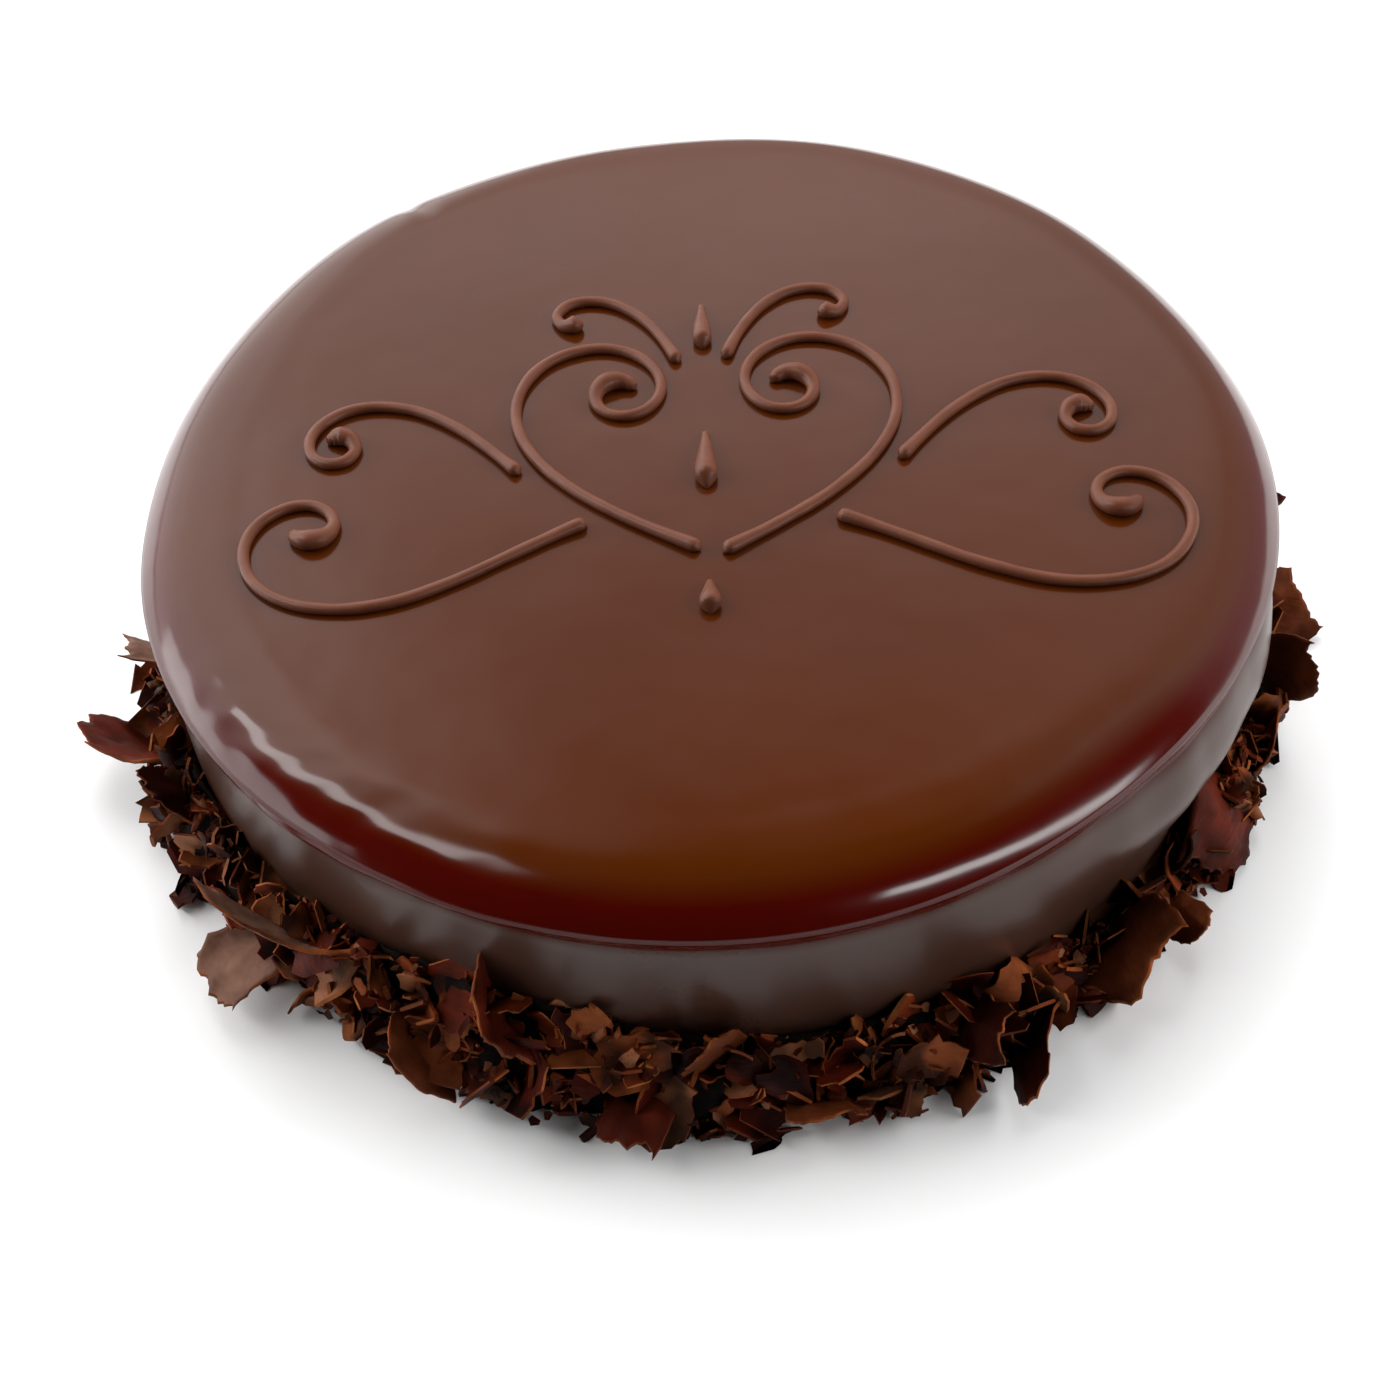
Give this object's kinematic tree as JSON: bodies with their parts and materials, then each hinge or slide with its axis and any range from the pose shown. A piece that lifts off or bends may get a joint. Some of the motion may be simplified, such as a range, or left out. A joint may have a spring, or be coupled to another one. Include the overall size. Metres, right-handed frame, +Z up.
{
  "type": "sachertorte cake",
  "caption": "Whole round chocolate-glazed torte with a rolled rim, a piped heart scroll on its top and a coat of chocolate flakes round the foot of its side.",
  "frame": {"origin": "centre of the cake's flat base", "axes": "+Z up from the base to the glazed top, -Y towards the front, where the piped scroll reads upright, +X to the right of it"},
  "size_m": [0.2857, 0.2811, 0.0688],
  "materials": {
    "chocolate_glaze": "smooth, glossy poured chocolate glaze",
    "piped_chocolate": "satin piped milk chocolate",
    "chocolate_flakes": "satin broken chocolate"
  },
  "bodies": {
    "root": {"glazed_cake": "chocolate_glaze", "flake_coat": "chocolate_flakes", "flake_1_01": "chocolate_flakes", "flake_1_02": "chocolate_flakes", "flake_1_03": "chocolate_flakes", "flake_1_04": "chocolate_flakes", "flake_1_05": "chocolate_flakes", "flake_1_06": "chocolate_flakes", "flake_1_07": "chocolate_flakes", "flake_1_08": "chocolate_flakes", "flake_1_09": "chocolate_flakes", "flake_1_10": "chocolate_flakes", "flake_1_11": "chocolate_flakes", "flake_1_12": "chocolate_flakes", "flake_1_13": "chocolate_flakes", "flake_1_14": "chocolate_flakes", "flake_1_15": "chocolate_flakes", "flake_1_16": "chocolate_flakes", "flake_1_17": "chocolate_flakes", "flake_1_18": "chocolate_flakes", "flake_2_01": "chocolate_flakes", "flake_2_02": "chocolate_flakes", "flake_2_03": "chocolate_flakes", "flake_2_04": "chocolate_flakes", "flake_2_05": "chocolate_flakes", "flake_2_06": "chocolate_flakes", "flake_2_07": "chocolate_flakes", "flake_2_08": "chocolate_flakes", "flake_2_09": "chocolate_flakes", "flake_2_10": "chocolate_flakes", "flake_2_11": "chocolate_flakes", "flake_2_12": "chocolate_flakes", "flake_2_13": "chocolate_flakes", "flake_2_14": "chocolate_flakes", "flake_2_15": "chocolate_flakes", "flake_2_16": "chocolate_flakes", "flake_2_17": "chocolate_flakes", "flake_2_18": "chocolate_flakes", "heart_left": "piped_chocolate", "heart_right": "piped_chocolate", "low_tendril_left": "piped_chocolate", "low_tendril_right": "piped_chocolate", "high_tendril_left": "piped_chocolate", "high_tendril_right": "piped_chocolate", "crest_left": "piped_chocolate", "crest_right": "piped_chocolate", "heart_drop": "piped_chocolate", "crest_drop": "piped_chocolate", "foot_drop": "piped_chocolate"}
  },
  "joints": []
}
